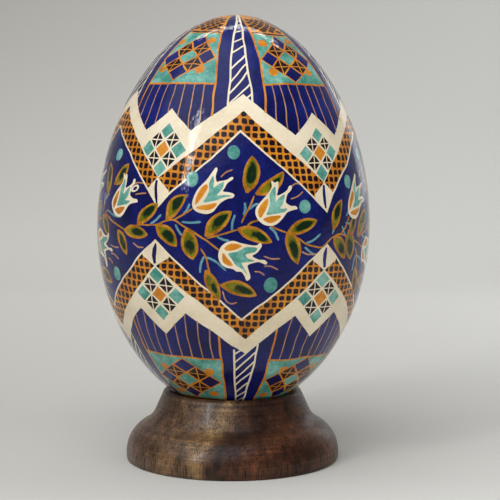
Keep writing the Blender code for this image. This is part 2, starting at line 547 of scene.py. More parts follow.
for repeat in range(REPEATS):
    for left, right, rungs, tip in (
        (UPPER_LADDER_LEFT, UPPER_LADDER_RIGHT, UPPER_RUNGS, UPPER_LADDER_TIP),
        (LOWER_LADDER_LEFT, LOWER_LADDER_RIGHT, LOWER_RUNGS, LOWER_LADDER_TIP),
    ):
        for low, high in rungs:
            a = along(left, low - 0.01, low + 0.01)[0]
            b = along(right, high - 0.01, high + 0.01)[0]
            line(repeat, [a, b], LADDER_LINE * 0.92, "cream")
        for rail in (left, right):
            line(repeat, rail + [tip], [LADDER_LINE] * len(rail) + [0.25], "cream")


# The vine
# A running vine with tulips, leaves and tendrils winds round the navy field. Each tulip is
# bare shell with orange sepals and turquoise petals. Stems and leaf rims are a dull gold, and
# the leaves are stained green inside, darker towards the middle.


def petals(repeat, outline, parts):
    """A flower: its bare outline, and its dyed parts inside."""
    fill(repeat, curve(outline, closed=True, steps=3), "cream")
    for dye, part in parts:
        fill(repeat, curve(part, closed=True, steps=3), dye)


TULIPS = [
    (
        [
            (-10.3, 5.9), (-9.3, 4.7), (-7.5, 4.25), (-6.0, 4.9), (-4.6, 6.6), (-3.2, 7.5),
            (-2.2, 7.7), (-1.95, 8.4), (-2.9, 8.8), (-4.25, 8.95), (-3.9, 9.7), (-3.4, 10.7),
            (-2.25, 11.5), (-2.5, 12.0), (-3.6, 11.4), (-4.9, 11.15), (-5.6, 11.0), (-5.85, 12.2),
            (-5.6, 13.5), (-6.0, 13.95), (-6.6, 13.0), (-7.6, 11.6), (-9.1, 9.8), (-10.1, 8.0),
        ],
        [
            ("orange", [
                (-7.75, 10.4), (-7.35, 9.7), (-8.0, 8.4), (-9.0, 7.0), (-9.7, 6.2), (-9.6, 7.9),
                (-8.6, 9.7),
            ]),
            ("orange", [
                (-9.5, 5.5), (-8.7, 6.0), (-7.0, 6.25), (-5.3, 6.5), (-6.0, 5.5), (-7.5, 5.0),
            ]),
            ("turquoise", [
                (-8.2, 6.75), (-7.4, 8.0), (-7.05, 9.3), (-7.2, 10.6), (-6.4, 12.2),
                (-6.15, 11.0), (-6.25, 9.8), (-5.2, 10.5), (-4.1, 11.0), (-4.4, 9.5),
                (-5.4, 8.15), (-3.6, 8.25), (-2.4, 8.1), (-4.1, 7.7), (-5.4, 7.1), (-7.0, 6.8),
            ]),
        ],
    ),
    (
        [
            (4.4, 2.75), (3.2, 3.6), (2.45, 4.9), (2.6, 6.2), (3.7, 7.6), (4.8, 8.8),
            (5.75, 10.1), (5.6, 11.4), (6.3, 11.05), (6.95, 11.3), (7.1, 10.5), (7.0, 9.4),
            (6.9, 8.55), (8.2, 9.1), (9.0, 9.7), (9.25, 10.3), (9.65, 10.6), (10.0, 10.25),
            (9.7, 9.5), (9.0, 8.8), (8.75, 7.9), (8.75, 7.15), (9.8, 6.55), (10.8, 6.5),
            (11.2, 5.95), (10.4, 5.75), (9.0, 5.3), (8.2, 4.4), (7.2, 3.2), (6.0, 2.65),
        ],
        [
            ("orange", [
                (4.8, 7.9), (4.9, 7.2), (4.4, 5.6), (3.5, 4.1), (2.95, 5.2), (3.3, 6.4),
                (4.2, 7.5),
            ]),
            ("orange", [
                (4.05, 3.8), (4.8, 4.25), (6.2, 4.55), (7.6, 4.6), (6.7, 3.6), (5.4, 3.1),
            ]),
            ("turquoise", [
                (4.75, 4.7), (5.05, 5.8), (5.3, 7.3), (5.25, 8.6), (5.7, 9.5), (6.4, 10.35),
                (6.6, 9.3), (6.5, 8.0), (6.6, 7.35), (7.4, 8.2), (8.4, 8.8), (8.3, 7.7),
                (7.9, 6.6), (7.35, 6.05), (8.2, 6.0), (9.0, 6.0), (8.2, 5.3), (6.7, 5.0),
            ]),
        ],
    ),
    (
        [
            (-4.6, -2.1), (-5.0, -3.7), (-4.5, -5.1), (-3.4, -5.95), (-2.1, -6.2), (-1.3, -6.8),
            (-0.4, -6.95), (0.3, -7.8), (0.75, -8.7), (1.5, -8.3), (1.35, -7.2), (0.9, -5.65),
            (1.9, -5.15), (3.2, -4.9), (4.5, -5.35), (4.85, -4.9), (4.2, -4.45), (3.0, -4.4),
            (1.75, -3.55), (2.6, -3.0), (3.25, -2.2), (3.6, -1.4), (3.3, -0.8), (2.5, -1.35),
            (1.0, -1.3), (-0.6, -0.9), (-2.0, -0.5), (-3.5, -1.0),
        ],
        [
            ("orange", [
                (-3.8, -2.2), (-3.0, -1.3), (-1.6, -1.0), (-0.35, -1.55), (-1.4, -2.25),
                (-3.0, -2.55),
            ]),
            ("orange", [
                (-4.1, -3.0), (-3.2, -4.0), (-2.4, -4.9), (-2.1, -5.5), (-3.0, -5.55),
                (-4.1, -4.7),
            ]),
            ("turquoise", [
                (-3.0, -3.1), (-1.5, -2.75), (-0.3, -2.2), (0.5, -1.8), (2.6, -1.8), (2.3, -2.7),
                (0.5, -3.15), (0.9, -4.0), (2.2, -4.65), (0.7, -4.85), (-0.25, -5.0),
                (0.25, -6.2), (0.85, -7.6), (-0.3, -6.25), (-1.4, -5.5), (-2.3, -4.2),
            ]),
        ],
    ),
]

# Leaves: foot, tip, width, and how far the middle bows to the left of the way from foot to tip
LEAVES = [
    ((0.6, 8.8), (1.6, 16.5), 3.5, -0.5),
    ((2.4, 8.7), (8.4, 13.2), 2.7, -0.6),
    ((-7.7, 0.1), (-2.3, 5.1), 3.0, 0.3),
    ((-1.2, 1.8), (6.0, -0.8), 3.1, 0.3),
    ((-11.6, 1.3), (-10.1, -4.8), 3.6, 0.0),
    ((-7.4, -6.6), (-4.7, -13.1), 2.8, 0.0),
    ((-4.4, -9.8), (3.1, -11.7), 3.0, 0.4),
    ((9.1, 1.0), (15.9, 3.6), 3.0, 0.2),
    ((9.2, 1.3), (11.7, -5.3), 3.2, 0.3),
    ((-16.2, 2.9), (-11.6, 8.3), 3.0, 0.4),
    ((-18.4, 1.6), (-13.6, -2.3), 3.2, 0.3),
]
# How wide the gold shows on each side of a leaf
LEAF_RIM = 0.51
leaf_hand = random.Random(31)


def leaf(repeat, foot, tip, width, bow):
    """A pointed leaf: dull gold rim, green inside, and a dark heart nearer the tip."""
    foot, tip = np.array(foot), np.array(tip)
    way = tip - foot
    across = np.array([-way[1], way[0]]) / np.linalg.norm(way)
    shares = np.array([0.0, 0.06, 0.16, 0.3, 0.45, 0.6, 0.74, 0.86, 0.95, 1.0])
    swell = np.array([0.16, 0.34, 0.66, 0.92, 1.0, 0.95, 0.8, 0.55, 0.26, 0.06])
    middle = foot + way * shares[:, None] + across * (bow * np.sin(math.pi * shares))[:, None]

    def outline(start, stop, wide):
        """The leaf's outline, or a slimmer and shorter one that lies inside it."""
        place = start + (stop - start) * shares
        spine = np.stack(
            [np.interp(place, shares, middle[:, 0]), np.interp(place, shares, middle[:, 1])], axis=1
        )
        reach = (width / 2.0 * wide * swell)[:, None] * across
        return np.vstack([spine + reach, (spine - reach)[::-1]])

    fill(repeat, outline(0.0, 1.0, 1.0), "gold")
    rim = 1.0 - 2.0 * LEAF_RIM / width
    fill(repeat, outline(0.13, 0.93, rim), "leaf")
    start = leaf_hand.uniform(0.28, 0.52)
    stop = leaf_hand.uniform(0.76, 0.88)
    fill(repeat, outline(start, stop, rim * leaf_hand.uniform(0.45, 0.8)), "leaf", 1.0)


STEM_LINE = 0.36
SKY_LINE = 0.46
TAN_LINE = 0.3
STEMS = [
    [
        (-18.6, 1.5), (-16.5, 2.6), (-14.5, 2.9), (-12.0, 1.5), (-9.3, 0.3), (-7.0, -1.0),
        (-4.8, -2.6),
    ],
    [(-8.6, -2.4), (-7.5, -4.2), (-6.5, -7.2), (-4.5, -9.8)],
    [(-7.4, -0.3), (-4.5, 0.6), (-1.1, 1.7)],
    [(-0.3, 3.0), (0.9, 5.5), (2.1, 8.4)],
    [(0.5, 1.9), (1.6, 3.1), (3.2, 3.7)],
    [(5.4, 2.8), (7.2, 1.8), (9.0, 1.2)],
    [(-14.6, 2.9), (-12.6, 3.9), (-10.2, 5.4)],
    [(11.5, 0.0), (13.4, -1.1), (15.5, -1.7), (17.3, -2.0), (19.0, -0.9), (20.0, -0.1)],
]
SKY_STROKES = [
    [(-12.7, 2.6), (-10.5, 2.4), (-8.5, 2.65)],
    [(-2.4, 1.4), (-2.2, 3.0), (-1.6, 4.6)],
    [(0.2, 7.0), (0.4, 5.8), (0.2, 4.5)],
    [(-5.3, 0.2), (-4.0, -0.4), (-2.8, -0.6)],
    [(5.4, 2.4), (6.6, 1.2), (7.4, -0.4)],
    [(-8.6, -7.3), (-8.4, -5.5), (-7.9, -3.9)],
    [(-7.4, -4.1), (-5.2, -5.0), (-3.4, -6.6)],
    [(-19.9, 1.7), (-18.7, 2.6), (-17.5, 3.9)],
    [(-14.1, 2.0), (-13.4, 0.8), (-12.6, -0.2)],
    [(13.2, -1.0), (15.0, -0.4), (16.8, 0.9)],
    [(13.1, -1.7), (14.3, -2.7), (15.4, -3.5)],
    [(1.2, 5.7), (2.0, 6.5), (2.9, 6.9)],
    [(-12.3, 4.0), (-11.4, 5.1), (-10.8, 6.4)],
]
TAN_STROKES = [
    [(-4.8, 12.0), (-3.8, 13.0), (-2.4, 13.6)],
    [(9.7, 7.9), (11.2, 8.4), (12.5, 9.4)],
    [(9.9, 10.4), (10.8, 10.9), (11.8, 10.9)],
    [(4.1, -3.7), (5.8, -4.2), (7.6, -4.1)],
    [(4.2, -5.7), (5.6, -5.7), (7.2, -6.3)],
    [(2.3, -6.8), (3.4, -6.9), (4.4, -7.6)],
    [(12.5, -2.6), (14.0, -3.3), (16.0, -3.3)],
    [(-3.9, -11.1), (-3.4, -12.8), (-2.2, -13.6), (-0.8, -13.3)],
]
# Berries: middle, and half their width and height
BERRIES = [
    (-2.3, 17.1, 1.36, 1.5), (-10.75, 11.4, 1.3, 1.6), (12.9, 6.4, 1.35, 1.35),
    (5.85, -9.5, 1.45, 1.6),
]

# The hand drew no two repeats alike. Left of the front one the vine crosses on a level, with
# one leaf more, and right of it the joint sits lower. An item changed to None is skipped.
LEFT_CHANGES = {
    "leaves": {
        0: ((2.1, 6.6), (0.3, 13.6), 3.0, 0.0), 1: ((4.4, 9.0), (9.1, 13.5), 2.7, -0.3),
        3: ((-0.5, 2.4), (3.6, -1.0), 2.8, 0.2), 7: ((13.8, 1.5), (18.7, 6.0), 2.9, 0.2),
        8: ((7.5, -0.1), (10.5, -5.1), 2.9, 0.2), 11: ((9.9, -0.1), (16.6, -0.5), 2.9, 0.1),
    },
    "stems": {
        5: [(1.6, 2.7), (4.3, 1.9), (7.3, 1.1), (9.8, 0.0)],
        7: [(9.8, -0.1), (14.1, 1.3), (16.8, 1.5), (19.0, 1.8), (20.0, 2.2)],
    },
    "sky": {4: [(2.9, 3.4), (6.1, 2.8), (8.7, 2.8)], 9: None, 10: None},
    "tan": {
        1: [(12.3, 7.5), (13.9, 7.8), (15.6, 8.0)],
        2: [(11.1, 9.4), (12.9, 9.9), (14.6, 9.8)],
        6: [(12.8, -2.5), (14.3, -3.1), (15.7, -3.1)],
    },
    "berries": {0: (4.1, 15.2, 1.45, 1.5), 2: None},
    "tulips": {1: (2.1, 0.1)},
}
RIGHT_CHANGES = {
    "leaves": {
        9: ((-16.9, 1.5), (-13.7, 7.7), 2.9, 0.3), 10: ((-16.6, 0.1), (-12.4, -4.4), 3.0, 0.3),
        11: ((-11.0, -0.1), (-8.5, 3.9), 2.4, 0.2),
    },
    "stems": {
        0: [(-17.2, -0.2), (-14.6, 0.4), (-11.0, -0.4), (-7.0, -1.6), (-4.8, -2.6)],
        6: [(-14.2, 0.6), (-12.4, 2.2), (-11.2, 3.9)],
    },
    "sky": {7: [(-17.0, 0.6), (-16.2, 2.6), (-15.6, 3.2)]},
    "tan": {},
    "berries": {},
    "tulips": {0: (-1.3, -1.0)},
}
SAME = {"leaves": {}, "stems": {}, "sky": {}, "tan": {}, "berries": {}, "tulips": {}}
CHANGES = [SAME, RIGHT_CHANGES, LEFT_CHANGES, SAME, LEFT_CHANGES]


def drawn(repeat, kind, usual):
    """The items of one kind in one repeat: the usual ones with its changes put in."""
    items = dict(enumerate(usual))
    items.update(CHANGES[repeat][kind])
    return [item for item in items.values() if item is not None]


for repeat in range(REPEATS):
    for points in drawn(repeat, "sky", SKY_STROKES):
        stroke(repeat, points, SKY_LINE, "sky")
    for points in drawn(repeat, "tan", TAN_STROKES):
        stroke(repeat, points, TAN_LINE, "tan")
    for points in drawn(repeat, "stems", STEMS):
        stroke(repeat, points, STEM_LINE, "gold")
for repeat in range(REPEATS):
    for foot, tip, width, bow in drawn(repeat, "leaves", LEAVES):
        leaf(repeat, foot, tip, width, bow)
for repeat in range(REPEATS):
    for index, (outline, parts) in enumerate(TULIPS):
        across, up = CHANGES[repeat]["tulips"].get(index, (0.0, 0.0))
        moved = [(x + across, s + up) for x, s in outline]
        moved_parts = [(dye, [(x + across, s + up) for x, s in part]) for dye, part in parts]
        petals(repeat, moved, moved_parts)
    for x, s, wide, tall in drawn(repeat, "berries", BERRIES):
        for grow, dye in ((1.0, "sky"), (0.86, "turquoise")):
            ring = []
            for turn in range(16):
                angle = 2.0 * math.pi * turn / 16.0
                ring.append((x + wide * grow * math.cos(angle), s + tall * grow * math.sin(angle)))
            fill(repeat, ring, dye)
# In the repeats drawn like the one left of the front, the right tulip's petal ends in a curl
CURL = (12.1, 8.7)
for repeat in (2, 4):
    for reach, dye in ((0.8, "cream"), (0.42, "navy")):
        ring = []
        for turn in range(12):
            angle = 2.0 * math.pi * turn / 12.0
            x = CURL[0] + 1.5 * reach * math.cos(angle)
            ring.append((x, CURL[1] + reach * math.sin(angle + 0.5)))
        fill(repeat, ring, dye)


# Cutting the shell
# The unrolled shell is cut along all those outlines, one repeat at a time, and every piece of
# it takes the dye of the shape that was painted last.

# Steps of the mesh, in mm: between the points inside a colour, and along an outline
GRID = 2.1
LONGEST_EDGE = 1.3


def finer(outline):
    """Splits the long sides of an outline, so that they can follow the egg and the hand."""
    ends = np.roll(outline, -1, axis=0)
    result = []
    for a, b in zip(outline, ends):
        scale = np.array([squeeze((a[1] + b[1]) / 2.0), 1.0])
        count = max(1, math.ceil(np.linalg.norm((b - a) * scale) / LONGEST_EDGE))
        for step in range(count):
            result.append(a + (b - a) * step / count)
    return np.array(result)


def grid_points():
    """Rows of points over one repeat, so that the shell stays evenly round between outlines."""
    rows = round((HIGHEST - LOWEST) / GRID)
    points = []
    levels = []
    for row in range(rows + 1):
        s = LOWEST + (HIGHEST - LOWEST) * row / rows
        columns = max(3, round(REPEAT * squeeze(s) / GRID))
        # Rows inside stand half a step off from each other
        offset = 0.0 if row in (0, rows) else 0.25 + 0.5 * (row % 2)
        levels.append(s)
        for column in range(columns):
            points.append((-HALF + REPEAT * (column + offset) / columns, s))
    return points, levels


def cut_repeat(repeat):
    """Cuts one repeat. Gives its points, their depth of dye, its triangles and their dyes."""
    points = []
    depth = []
    loops = []
    dyes = []
    inside, levels = grid_points()
    bottom = [p for p in inside if p[1] == levels[0]]
    top = [p for p in inside if p[1] == levels[-1]]
    border = bottom + [(HALF, s) for s in levels] + top[:0:-1] + [(-HALF, s) for s in levels[::-1]]
    border = list(dict.fromkeys(border))
    loops.append(list(range(len(border))))
    points += border
    depth += [0.0] * len(border)
    dyes.append(DYES.index("navy"))
    for place, outline, dye, deep in painted:
        for near in (-1, 0, 1):
            if (repeat + near) % REPEATS != place:
                continue
            shape = outline + np.array([near * REPEAT, 0.0])
            if shape[:, 0].max() < -HALF - 1e-6 or shape[:, 0].min() > HALF + 1e-6:
                continue
            shape = finer(shape)
            loops.append(list(range(len(points), len(points) + len(shape))))
            points += [tuple(p) for p in shape]
            depth += [deep] * len(shape)
            dyes.append(dye)
    edge_points = len(points)
    points += [p for p in inside if levels[0] < p[1] < levels[-1]]
    depth += [0.0] * (len(points) - edge_points)
    cut = delaunay_2d_cdt([Vector(p) for p in points], [], loops, 0, 1e-5, True)
    verts, _, faces, origins, _, face_origins = cut
    verts = np.array([tuple(v) for v in verts])
    deep = np.array([max([depth[i] for i in o], default=0.0) for o in origins])
    kept = []
    kept_dyes = []
    for face, origin in zip(faces, face_origins):
        middle = verts[face].mean(axis=0)
        if not origin or abs(middle[0]) > HALF or not LOWEST < middle[1] < HIGHEST:
            continue
        kept.append(face)
        kept_dyes.append(dyes[max(origin)])
        if depth[loops[max(origin)][0]] > 0.0:
            deep[face] = 1.0
    return verts, deep, kept, kept_dyes


# Slow waves of the hand, by their length and reach in mm
waver = random.Random(77)
WAVES = []
for wavelength, size in ((16.0, 0.16), (9.0, 0.1), (5.2, 0.06), (3.1, 0.035)):
    for _ in range(3):
        turns = round(REPEATS * REPEAT / wavelength * waver.uniform(0.3, 1.1))
        climb = waver.uniform(0.5, 1.2) * 2.0 * math.pi / wavelength
        WAVES.append((size, turns, climb, waver.uniform(0, 6.28), waver.uniform(0, 6.28)))


def by_hand(x, s):
    """No line runs quite true: the whole ornament wavers a little, less so at the front."""
    around = x / WAIST_RADIUS
    ease = 0.35 + 0.65 * np.sin(around / 2.0) ** 2
    ease = ease * np.clip(np.minimum(s - LOWEST, HIGHEST - s) / END_EASE, 0.0, 1.0)
    sideways = np.zeros_like(x)
    lengthways = np.zeros_like(x)
    for size, turns, climb, first, second in WAVES:
        sideways += size * np.sin(turns * around + climb * s + first)
        lengthways += size * np.sin(turns * around - climb * s + second)
    sideways = sideways / squeeze(s)
    return x + ease * sideways, s + ease * lengthways


def on_shell(x, s):
    """Places and outward directions on the leaning egg, in metres."""
    turn = x / WAIST_RADIUS + FRONT_TURN
    s = s - ORNAMENT_TILT * np.sin(turn) * np.clip((HIGHEST - s) / END_EASE, 0.0, 1.0)
    s = np.clip(s, LOWEST, HIGHEST)
    r = np.interp(s, shell_run, shell_radius)
    z = np.interp(s, shell_run, shell_height)
    slope_r = np.interp(s, shell_run, np.gradient(shell_radius, shell_run))
    slope_z = np.interp(s, shell_run, np.gradient(shell_height, shell_run))
    place = np.stack([r * np.sin(turn), -r * np.cos(turn), z + WAIST_HEIGHT], axis=1)
    out = np.stack([slope_z * np.sin(turn), -slope_z * np.cos(turn), -slope_r], axis=1)
    return lean_over(place) / 1000.0, lean_over(out, pivot=0.0)


def lean_over(points, pivot=LEAN_PIVOT_HEIGHT):
    """Turns points about the seat's middle, top towards the right."""
    c, d = math.cos(LEAN), math.sin(LEAN)
    x, y, z = points[:, 0], points[:, 1], points[:, 2] - pivot
    return np.stack([c * x + d * z, y, -d * x + c * z + pivot], axis=1)


def lay_out_shell():
    """Joins the five repeats and the two ends, and gives the mesh its dyes and its map."""
    places, outs, depths = [], [], []
    faces, dyes, maps = [], [], []
    span = HIGHEST - LOWEST
    for repeat in range(REPEATS):
        verts, deep, cut, cut_dyes = cut_repeat(repeat)
        shift = (repeat if repeat < 3 else repeat - REPEATS) * REPEAT
        x, s = by_hand(verts[:, 0] + shift, verts[:, 1])
        place, out = on_shell(x, s)
        first = len(places)
        places.extend(place)
        outs.extend(out)
        depths.extend(deep)
        u = (verts[:, 0] + shift) / (REPEATS * REPEAT) + 0.5
        v = (verts[:, 1] - LOWEST) / span * 0.98 + 0.01
        for face, kind in zip(cut, cut_dyes):
            faces.append([first + i for i in face])
            dyes.append(kind)
            maps.append([(u[i], v[i]) for i in face])
        # Both ends of the shell are closed by a fan to the pole
        for level, pole_run, pole_v in (
            (LOWEST, shell_run[0], 0.0),
            (HIGHEST, shell_run[-1], 1.0),
        ):
            rim = [i for i in range(len(verts)) if abs(verts[i, 1] - level) < 1e-6]
            rim.sort(key=lambda i: verts[i, 0])
            z = np.interp(pole_run, shell_run, shell_height)
            pole_place = lean_over(np.array([[0.0, 0.0, z + WAIST_HEIGHT]])) / 1000.0
            up = 1.0 if level == HIGHEST else -1.0
            for a, b in zip(rim, rim[1:]):
                pole = len(places)
                places.append(pole_place[0])
                outs.append(lean_over(np.array([[0.0, 0.0, up]]), pivot=0.0)[0])
                depths.append(0.0)
                order = (a, b) if up > 0 else (b, a)
                faces.append([first + order[0], first + order[1], pole])
                dyes.append(DYES.index("orange"))
                middle_u = (u[a] + u[b]) / 2.0
                maps.append([(u[order[0]], v[a]), (u[order[1]], v[a]), (middle_u, pole_v)])
    return np.array(places), np.array(outs), depths, faces, dyes, maps


places, outs, depths, faces, dyes, maps = lay_out_shell()
shell_mesh = bpy.data.meshes.new("painted_egg")
shell_mesh.from_pydata(places.tolist(), [], faces)
shell_mesh.polygons.foreach_set("material_index", dyes)
bake_map = shell_mesh.uv_layers.new(name="OFBake")
bake_map.data.foreach_set("uv", [c for face in maps for corner in face for c in corner])
depth_of_dye = shell_mesh.attributes.new("depth_of_dye", "FLOAT", "POINT")
depth_of_dye.data.foreach_set("value", np.array(depths, np.float32))
outward = shell_mesh.attributes.new("outward", "FLOAT_VECTOR", "POINT")
outward.data.foreach_set("vector", outs.astype(np.float32).ravel())
painted_egg = bpy.data.objects.new("painted_egg", shell_mesh)
bpy.context.scene.collection.objects.link(painted_egg)

bpy.ops.object.select_all(action="DESELECT")
painted_egg.select_set(True)
bpy.context.view_layer.objects.active = painted_egg
bpy.ops.object.mode_set(mode="EDIT")
bpy.ops.mesh.select_all(action="SELECT")
bpy.ops.mesh.remove_doubles(threshold=3e-6)
bpy.ops.mesh.normals_make_consistent(inside=False)
bpy.ops.object.mode_set(mode="OBJECT")
bpy.ops.object.shade_smooth()
true_round = np.zeros(len(shell_mesh.vertices) * 3, np.float32)
shell_mesh.attributes["outward"].data.foreach_get("vector", true_round)
true_round = true_round.reshape(-1, 3)
true_round /= np.maximum(np.linalg.norm(true_round, axis=1, keepdims=True), 1e-9)
shell_mesh.normals_split_custom_set_from_vertices(true_round.tolist())
shell_mesh.attributes.remove(shell_mesh.attributes["outward"])


def wire(node, inputs):
    """Sets a node's inputs. Each is a plain value, or another node's output to link."""
    for name, value in inputs.items():
        if isinstance(value, bpy.types.NodeSocket):
            node.id_data.links.new(value, node.inputs[name])
        else:
            node.inputs[name].default_value = value
    return node


def add_node(tree, kind, inputs, **settings):
    """A new shader node with its settings and its inputs."""
    node = tree.nodes.new("ShaderNode" + kind)
    for name, value in settings.items():
        setattr(node, name, value)
    return wire(node, inputs)


def number(tree, operation, *values):
    """One step of arithmetic between outputs and plain values."""
    return add_node(tree, "Math", dict(enumerate(values)), operation=operation).outputs["Value"]


def noise(tree, place, scale, detail, roughness=0.5):
    """Noise from 0 to 1 over a place in metres."""
    inputs = {"Vector": place, "Scale": scale, "Detail": detail, "Roughness": roughness}
    return add_node(tree, "TexNoise", inputs).outputs["Fac"]


def step_between(tree, value, low, high):
    """A soft step from 0 to 1 between two values."""
    inputs = {"Value": value, "From Min": low, "From Max": high}
    return add_node(tree, "MapRange", inputs, interpolation_type="SMOOTHSTEP").outputs["Result"]


def blend(tree, share, first, second, blend_type="MIX"):
    """Two colours, mixed or multiplied."""
    inputs = {"Factor": share, "A": first, "B": second}
    node = add_node(tree, "Mix", inputs, data_type="RGBA", blend_type=blend_type)
    return node.outputs["Result"]


def ramp(tree, value, stops):
    """The colour at a value from 0 to 1. Each stop is a place on that way and its colour."""
    node = add_node(tree, "ValToRGB", {"Fac": value})
    elements = node.color_ramp.elements
    for place, colour in stops[1:-1]:
        elements.new(place).color = (*colour, 1.0)
    for element, (place, colour) in ((elements[0], stops[0]), (elements[-1], stops[-1])):
        element.position = place
        element.color = (*colour, 1.0)
    return node.outputs["Color"]


def varnish(tree):
    """A thick clear gloss varnish, a little uneven, with fine pits."""
    place = add_node(tree, "TexCoord", {}).outputs["Object"]
    pits = noise(tree, place, 900.0, 3.0)
    swell = noise(tree, place, 230.0, 2.0)
    height = number(tree, "MULTIPLY_ADD", swell, 1.6, pits)
    bump = add_node(tree, "Bump", {"Strength": 0.3, "Distance": 0.0002, "Height": height})
    wire(
        tree.nodes["Principled BSDF"],
        {
            "Coat Weight": 1.0,
            "Coat Roughness": 0.04,
            "Coat IOR": 1.34,
            "Specular IOR Level": 0.1,
            "Normal": bump.outputs["Normal"],
            "Coat Normal": bump.outputs["Normal"],
        },
    )


def srgb(colour):
    """A colour as the eye reads it, 0 to 255, as the light value that the shader works in."""
    shares = [c / 255.0 for c in colour]
    return tuple(c / 12.92 if c < 0.04045 else ((c + 0.055) / 1.055) ** 2.4 for c in shares)


def dye(name, dark, mid, light, cloud=240.0):
    """A dye on eggshell: cloudy like watercolour, with a fine grain from the shell."""
    material = bpy.data.materials.new(name)
    material.use_nodes = True
    tree = material.node_tree
    place = add_node(tree, "TexCoord", {}).outputs["Object"]
    clouds = noise(tree, place, cloud, 4.0, roughness=0.6)
    grains = noise(tree, place, 1700.0, 2.0)
    shade = number(tree, "MULTIPLY_ADD", grains, 0.35, clouds)
    colour = ramp(tree, shade, [(0.5, srgb(dark)), (0.67, srgb(mid)), (0.86, srgb(light))])
    wire(tree.nodes["Principled BSDF"], {"Roughness": 0.55, "Base Color": colour})
    varnish(tree)
    return material


cream = dye("bare_cream_shell", (214, 198, 167), (222, 208, 178), (229, 216, 190), cloud=130.0)
navy = dye("navy_dye", (3, 5, 56), (6, 14, 80), (14, 28, 104), cloud=110.0)
orange = dye("orange_dye", (166, 96, 12), (194, 120, 24), (210, 140, 42))
turquoise = dye("turquoise_dye", (54, 122, 108), (88, 150, 135), (130, 180, 165))
black = dye("black_dye", (12, 3, 9), (22, 9, 17), (38, 18, 31))
sky = dye("sky_blue_line", (70, 116, 130), (90, 138, 150), (118, 162, 170))
tan = dye("pale_orange_line", (146, 102, 68), (170, 122, 84), (190, 144, 110))
gold = dye("dull_gold_dye", (136, 84, 12), (166, 108, 22), (190, 130, 40), cloud=420.0)

# The green is brushed on inside the gold rims and pools darkest in the middle
leaf_green = dye("leaf_green_dye", (76, 78, 6), (104, 102, 8), (132, 122, 18), cloud=420.0)
tree = leaf_green.node_tree
shader = tree.nodes["Principled BSDF"]
pooled = add_node(tree, "Attribute", {}, attribute_name="depth_of_dye").outputs["Fac"]
uneven = noise(tree, add_node(tree, "TexCoord", {}).outputs["Object"], 620.0, 4.0)
spread = number(tree, "ADD", number(tree, "MULTIPLY_ADD", uneven, 2.2, pooled), -1.1)
plain = shader.inputs["Base Color"].links[0].from_socket
dark_green = (*srgb((10, 34, 12)), 1.0)
pools = blend(tree, step_between(tree, spread, 0.15, 0.95), plain, dark_green)
wire(shader, {"Base Color": pools})

for material in (cream, navy, orange, turquoise, black, leaf_green, sky, tan, gold):
    shell_mesh.materials.append(material)
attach(painted_egg, "root")
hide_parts("egg")


# The stand
# One piece of walnut turned between centres, its grain upright: a full round foot, a hollow,
# a straight neck and a rounded lip round the shallow cup. It is sanded and oiled to a satin.

TURNED_STEPS = 128
# These are the measures of the CAD stand, in metres
UNDERSIDE_RADIUS = 0.0228
CHAMFER_HEIGHT = 0.0003
BULGE_RADIUS = 0.0074
BULGE_CENTRE = Vector((0.01585, 0.0015))
HOLLOW_STARTS = math.radians(62.0)
HOLLOW_RADIUS = 0.0055
NECK_SLOPE = math.radians(24.2)
LIP_RADIUS = 0.00095
LIP_TOP = 0.0151
CUP_FLOOR = 0.00995


def arc(centre, radius, start, end, steps):
    """Points (r, z) on an arc, both ends included. Angles go up from level, outwards."""
    return [
        centre + radius * Vector((math.cos(angle), math.sin(angle)))
        for angle in (start + (end - start) * step / steps for step in range(steps + 1))
    ]


def turned_profile():
    """Foot, hollow, neck, lip and cup, from the rim of the underside to the cup's middle."""
    chamfer = math.asin((CHAMFER_HEIGHT - BULGE_CENTRE.y) / BULGE_RADIUS)
    foot = arc(BULGE_CENTRE, BULGE_RADIUS, chamfer, HOLLOW_STARTS, 18)
    outwards = Vector((math.cos(HOLLOW_STARTS), math.sin(HOLLOW_STARTS)))
    hollow_centre = BULGE_CENTRE + (BULGE_RADIUS + HOLLOW_RADIUS) * outwards
    hollow = arc(
        hollow_centre, HOLLOW_RADIUS, math.pi + HOLLOW_STARTS, math.pi + NECK_SLOPE, 12
    )
    neck_out = Vector((math.cos(NECK_SLOPE), math.sin(NECK_SLOPE)))
    neck_up = Vector((-neck_out.y, neck_out.x))
    lip_height = LIP_TOP - LIP_RADIUS
    run = (lip_height + LIP_RADIUS * neck_out.y - hollow[-1].y) / neck_up.y
    lip_centre = hollow[-1] + run * neck_up - LIP_RADIUS * neck_out
    neck = [hollow[-1] + run * neck_up * share for share in (0.25, 0.5, 0.75)]
    depth = lip_centre.y - CUP_FLOOR
    cup_radius = (lip_centre.x**2 + depth**2 - LIP_RADIUS**2) / (2.0 * (depth + LIP_RADIUS))
    cup_centre = Vector((0.0, CUP_FLOOR + cup_radius))
    to_lip = lip_centre - cup_centre
    touch = math.atan2(to_lip.y, to_lip.x)
    lip = arc(lip_centre, LIP_RADIUS, NECK_SLOPE, math.pi + touch, 14)
    cup = arc(cup_centre, cup_radius, touch, -math.pi / 2.0, 14)
    return foot + hollow[1:] + neck + lip + cup[1:]


